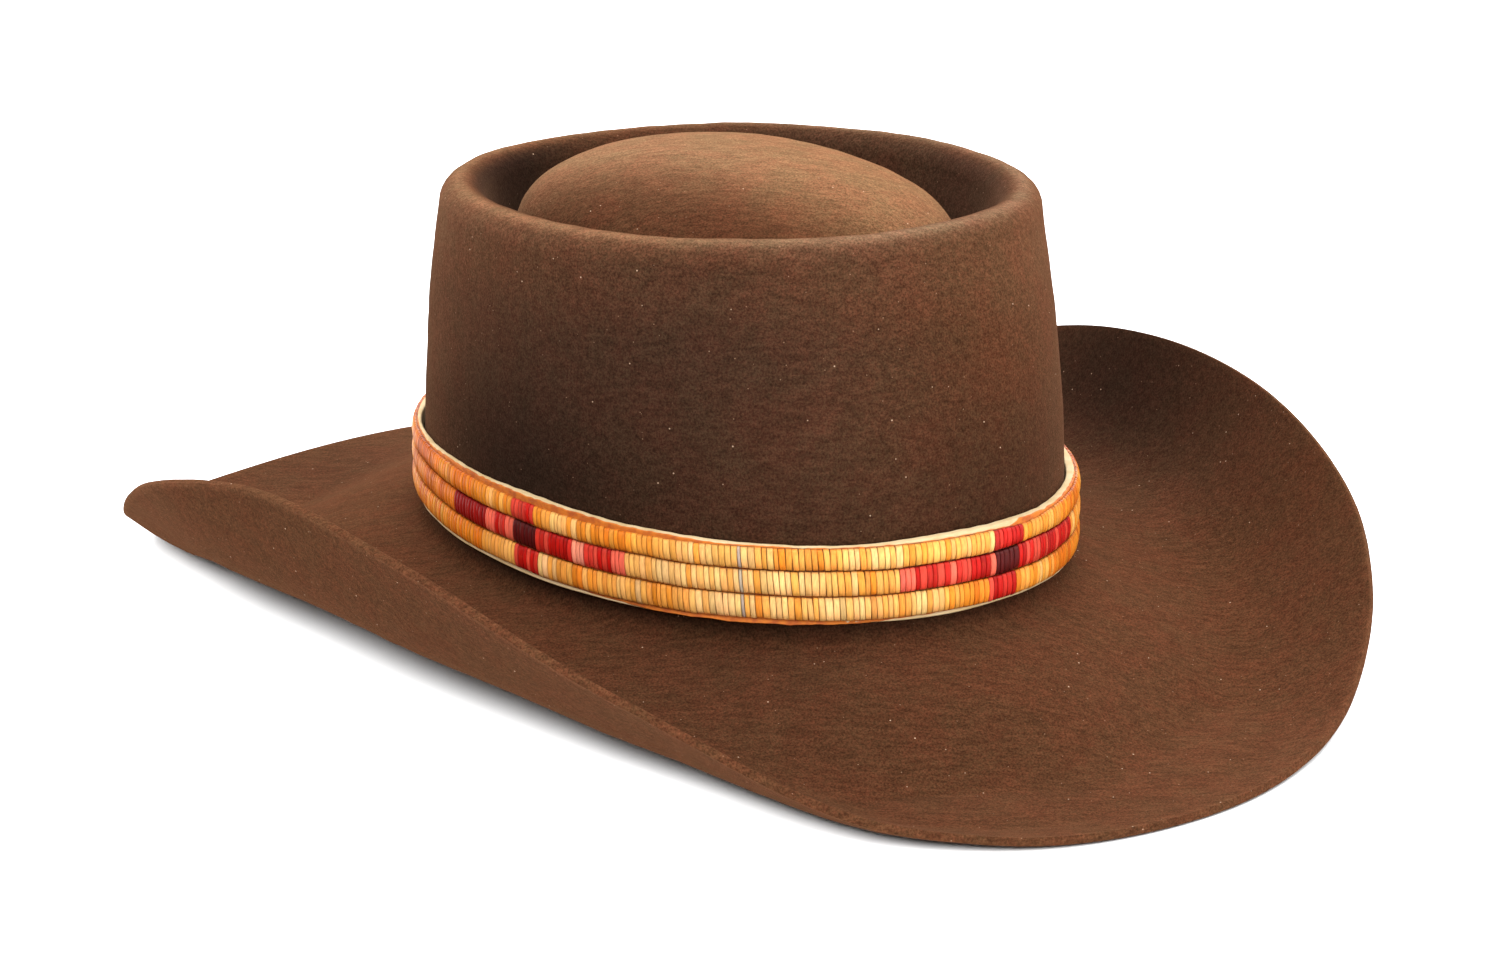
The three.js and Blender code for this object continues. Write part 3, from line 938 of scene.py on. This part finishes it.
class Nodes:
    """A new material with a Principled shader, and short names for the nodes that feed it."""

    def __init__(self, name, **constants):
        self.material = bpy.data.materials.new(name)
        self.material.use_nodes = True
        self.tree = self.material.node_tree
        self.tree.nodes.clear()
        output = self.tree.nodes.new("ShaderNodeOutputMaterial")
        self.shader = self.tree.nodes.new("ShaderNodeBsdfPrincipled")
        self.link(self.shader.outputs["BSDF"], output.inputs["Surface"])
        for socket, value in constants.items():
            self.shader.inputs[socket.replace("_", " ")].default_value = value
        self.place = self.tree.nodes.new("ShaderNodeTexCoord").outputs["Object"]

    def link(self, source, target):
        self.tree.links.new(source, target)

    def feed(self, socket, value):
        if isinstance(value, bpy.types.NodeSocket):
            self.link(value, socket)
        elif hasattr(value, "__len__") and len(value) == 3 and socket.type == "RGBA":
            socket.default_value = (*value, 1)
        else:
            socket.default_value = value

    def stretched(self, scale):
        node = self.tree.nodes.new("ShaderNodeMapping")
        self.link(self.place, node.inputs["Vector"])
        node.inputs["Scale"].default_value = scale
        return node.outputs["Vector"]

    def along(self, direction):
        node = self.tree.nodes.new("ShaderNodeVectorMath")
        node.operation = "DOT_PRODUCT"
        self.link(self.place, node.inputs[0])
        node.inputs[1].default_value = direction
        return node.outputs["Value"]

    def level_stretch(self, scale):
        """The place with its sideways direction scaled, so that noise runs into level streaks."""
        node = self.tree.nodes.new("ShaderNodeCombineXYZ")
        self.link(self.maths("MULTIPLY", self.along((*VIEW_RIGHT, 0)), scale), node.inputs["X"])
        self.link(self.along((*VIEW_AWAY, 0)), node.inputs["Y"])
        self.link(self.along((0, 0, 1)), node.inputs["Z"])
        return node.outputs["Vector"]

    def noise(self, size, detail=2, roughness=0.5, place=None):
        """Noise with features of about the given size in metres."""
        node = self.tree.nodes.new("ShaderNodeTexNoise")
        self.link(place or self.place, node.inputs["Vector"])
        node.inputs["Scale"].default_value = 1 / size
        node.inputs["Detail"].default_value = detail
        node.inputs["Roughness"].default_value = roughness
        return node.outputs["Fac"]

    def maths(self, operation, first, second=0.5, third=0.5, clamp=False):
        node = self.tree.nodes.new("ShaderNodeMath")
        node.operation = operation
        node.use_clamp = clamp
        for socket, value in zip(node.inputs, (first, second, third)):
            self.feed(socket, value)
        return node.outputs["Value"]

    def spread(self, value, low, high, to_low=0.0, to_high=1.0):
        node = self.tree.nodes.new("ShaderNodeMapRange")
        node.interpolation_type = "SMOOTHSTEP"
        for socket, item in zip(node.inputs, (value, low, high, to_low, to_high)):
            self.feed(socket, item)
        return node.outputs["Result"]

    def mix(self, share, first, second, blend="MIX"):
        node = self.tree.nodes.new("ShaderNodeMix")
        node.data_type = "RGBA"
        node.blend_type = blend
        self.feed(node.inputs["Factor"], share)
        self.feed(node.inputs[6], first)
        self.feed(node.inputs[7], second)
        return node.outputs[2]

    def scaled(self, colour, factor):
        node = self.tree.nodes.new("ShaderNodeVectorMath")
        node.operation = "SCALE"
        self.link(colour, node.inputs[0])
        node.inputs["Scale"].default_value = factor
        return node.outputs["Vector"]

    def specks(self, cell, radius, share, seed_shift):
        """1 in small round spots, in that share of the cells round scattered points."""
        shift = self.tree.nodes.new("ShaderNodeVectorMath")
        self.link(self.place, shift.inputs[0])
        shift.inputs[1].default_value = (seed_shift, seed_shift, 0)
        node = self.tree.nodes.new("ShaderNodeTexVoronoi")
        self.link(shift.outputs["Vector"], node.inputs["Vector"])
        node.inputs["Scale"].default_value = 1 / cell
        near = self.spread(node.outputs["Distance"], radius / cell, radius * 0.5 / cell)
        split = self.tree.nodes.new("ShaderNodeSeparateColor")
        self.link(node.outputs["Color"], split.inputs["Color"])
        chosen = self.maths("LESS_THAN", split.outputs["Red"], share)
        return self.maths("MULTIPLY", near, chosen)

    def bump(self, height, distance, strength=1.0, normal=None):
        node = self.tree.nodes.new("ShaderNodeBump")
        node.inputs["Strength"].default_value = strength
        node.inputs["Distance"].default_value = distance
        self.link(height, node.inputs["Height"])
        if normal is not None:
            self.link(normal, node.inputs["Normal"])
        return node.outputs["Normal"]

    def tint(self):
        node = self.tree.nodes.new("ShaderNodeVertexColor")
        node.layer_name = "tint"
        return node.outputs["Color"]

    def finish(self, colour, normal, roughness=None):
        self.link(colour, self.shader.inputs["Base Color"])
        self.link(normal, self.shader.inputs["Normal"])
        if roughness is not None:
            self.link(roughness, self.shader.inputs["Roughness"])
        return self.material


def felt_material():
    """Brown fur felt: mottled red and olive browns, a fine brushed nap and a little pale lint."""
    n = Nodes("brown_felt", Roughness=0.95, Sheen_Weight=0.2, Sheen_Roughness=0.4)
    n.shader.inputs["Sheen Tint"].default_value = (0.5, 0.26, 0.15, 1)
    n.shader.inputs["Specular IOR Level"].default_value = 0.0
    clouds = n.spread(n.noise(13 * MM, 3, 0.5), 0.35, 0.65)
    fine = n.spread(n.noise(1 * MM, 2, 0.5), 0.3, 0.7)
    redness = n.maths("MULTIPLY_ADD", clouds, 0.38, n.maths("MULTIPLY_ADD", fine, 0.42, 0.1))
    olive, red, dull = linear(66, 46, 31), linear(74, 43, 29.5), linear(63, 42, 28)
    colour = n.mix(redness, olive, red)
    patches = n.spread(n.noise(6 * MM, 3, 0.5), 0.45, 0.7)
    colour = n.mix(n.maths("MULTIPLY", patches, 0.35), colour, dull)
    grain = n.spread(n.noise(0.6 * MM, 4, 0.75), 0.3, 0.7, 0.5, 1.5)
    brushed = n.spread(n.noise(1.5 * MM, 3, 0.6, n.level_stretch(0.22)), 0.3, 0.7, 0.8, 1.2)
    colour = n.mix(1.0, colour, n.maths("MULTIPLY", grain, brushed), "MULTIPLY")
    # the tint multiplies in the painted light and shade on the felt, and its redness
    colour = n.scaled(n.mix(1.0, colour, n.tint(), "MULTIPLY"), 1 / TINT_UNIT)
    lint = n.specks(2.6 * MM, 0.27 * MM, 0.08, 0.0)
    fine_lint = n.specks(1.7 * MM, 0.19 * MM, 0.12, 0.7)
    colour = n.mix(n.maths("MULTIPLY", lint, 0.6), colour, linear(215, 180, 150))
    colour = n.mix(n.maths("MULTIPLY", fine_lint, 0.4), colour, linear(190, 150, 120))
    fibres = n.noise(0.4 * MM, 3, 0.65)
    normal = n.bump(fibres, 0.2 * MM, 0.7, n.bump(n.noise(2 * MM, 3), 0.2 * MM, 0.6))
    return n.finish(colour, normal)


def leather_material():
    """Cream tanned leather with a suede face."""
    n = Nodes("cream_leather", Roughness=0.85)
    cream, buff, stain = linear(226, 201, 156), linear(212, 183, 132), linear(150, 100, 60)
    colour = n.mix(n.spread(n.noise(5 * MM, 3), 0.35, 0.7), cream, buff)
    specks = n.specks(3 * MM, 0.35 * MM, 0.12, 0.3)
    colour = n.mix(n.maths("MULTIPLY", specks, 0.6), colour, stain)
    colour = n.mix(1.0, colour, n.tint(), "MULTIPLY")
    normal = n.bump(n.noise(0.6 * MM, 3), 0.12 * MM, 0.7)
    return n.finish(colour, normal)


def mat_material():
    """Rust dyed strip, darkened where the quills cover it: painted shade in the gaps between the rows,
    and the dark thread of the row joints.
    """
    n = Nodes("rust_strip", Roughness=0.75)
    rust, deep, under_quill_shade = linear(196, 106, 14), linear(166, 76, 8), linear(70, 28, 12)
    colour = n.mix(n.spread(n.noise(2.5 * MM, 3), 0.35, 0.7), rust, deep)
    # painted shade where the quills cover the mat, and the dark thread of the row joints
    colour = n.mix(n.tint(), colour, under_quill_shade)
    normal = n.bump(n.noise(0.5 * MM, 2), 0.1 * MM, 0.6)
    return n.finish(colour, normal)


def quill_material():
    """Flattened dyed quills: satin, with fine streaks along each one."""
    n = Nodes("quills", Roughness=0.5)
    n.shader.inputs["Specular IOR Level"].default_value = 0.15
    streaks = n.noise(0.5 * MM, 2, 0.5, n.stretched((1, 1, 0.12)))
    colour = n.mix(1.0, n.tint(), n.spread(streaks, 0.3, 0.7, 0.84, 1.12), "MULTIPLY")
    stains = n.spread(n.noise(2.4 * MM, 3, 0.65), 0.6, 0.75)
    colour = n.mix(n.maths("MULTIPLY", stains, 0.15), colour, linear(190, 110, 50))
    normal = n.bump(streaks, 0.06 * MM, 0.5)
    return n.finish(colour, normal, n.spread(stains, 0, 1, 0.45, 0.6))


def floor_material():
    n = Nodes("pale_floor", Roughness=0.9)
    colour = n.mix(n.noise(0.4, 2), (0.59, 0.59, 0.59), (0.61, 0.61, 0.61))
    n.link(colour, n.shader.inputs["Base Color"])
    return n.material


# Scene


def make_floor():
    corners = ((-1, -1), (1, -1), (1, 1), (-1, 1))
    points = [(x * FLOOR_HALF, y * FLOOR_HALF, -FLOOR_DROP) for x, y in corners]
    floor = mesh_object("floor", points, [[0, 1, 2, 3]], floor_material())
    return floor


def direction(azimuth, height):
    """Towards an azimuth and a height in degrees."""
    a, e = math.radians(azimuth), math.radians(height)
    return Vector((math.sin(a) * math.cos(e), -math.cos(a) * math.cos(e), math.sin(e)))


def make_sun(name, strength, angle, azimuth, height):
    """A soft sun whose light comes from that azimuth and height; azimuth 0 is the hat's front."""
    light = bpy.data.lights.new(name, "SUN")
    light.energy = strength
    light.angle = math.radians(angle)
    lamp = bpy.data.objects.new(name, light)
    lamp.rotation_mode = "QUATERNION"
    lamp.rotation_quaternion = direction(azimuth, height).to_track_quat("Z", "Y")
    bpy.context.scene.collection.objects.link(lamp)
    return lamp


def make_lights(floor):
    world = bpy.data.worlds.new("studio")
    bpy.context.scene.world = world
    world.use_nodes = True
    background = world.node_tree.nodes["Background"]
    background.inputs["Color"].default_value = (1, 1, 1, 1)
    background.inputs["Strength"].default_value = SURROUND_STRENGTH
    for name, values in SUNS.items():
        make_sun(name, *values)
    only_floor = bpy.data.collections.new("lit_by_floor_light")
    only_floor.objects.link(floor)
    lamp = make_sun("floor_light", *FLOOR_SUN)
    lamp.light_linking.receiver_collection = only_floor


def make_camera():
    data = bpy.data.cameras.new("camera")
    data.sensor_width = SENSOR_WIDTH
    data.sensor_fit = "HORIZONTAL"
    data.lens = CAMERA_FOCUS / PICTURE_WIDTH * SENSOR_WIDTH
    data.shift_x = -CAMERA_OFFSET / PICTURE_WIDTH
    data.clip_end = 100
    camera = bpy.data.objects.new("camera", data)
    bpy.context.scene.collection.objects.link(camera)
    back = direction(CAMERA_AZIMUTH, CAMERA_PITCH)
    level = Vector((-back.y, back.x, 0)).normalized()
    upward = back.cross(level)
    roll = math.radians(CAMERA_ROLL)
    right = level * math.cos(roll) + upward * math.sin(roll)
    up = upward * math.cos(roll) - level * math.sin(roll)
    turned = Matrix((right, up, back)).transposed()
    camera.matrix_world = Matrix.LocRotScale(CAMERA_PLACE, turned, None)
    bpy.context.scene.camera = camera


def make_hat():
    make_felt(felt_material())
    make_leather(leather_material())
    make_mat(mat_material())
    quills = quill_material()
    for index, name in enumerate(ROW_CHARTS):
        make_row(index, name, quills)


make_hat()
make_lights(make_floor())
make_camera()
bpy.context.scene.view_settings.view_transform = "Standard"
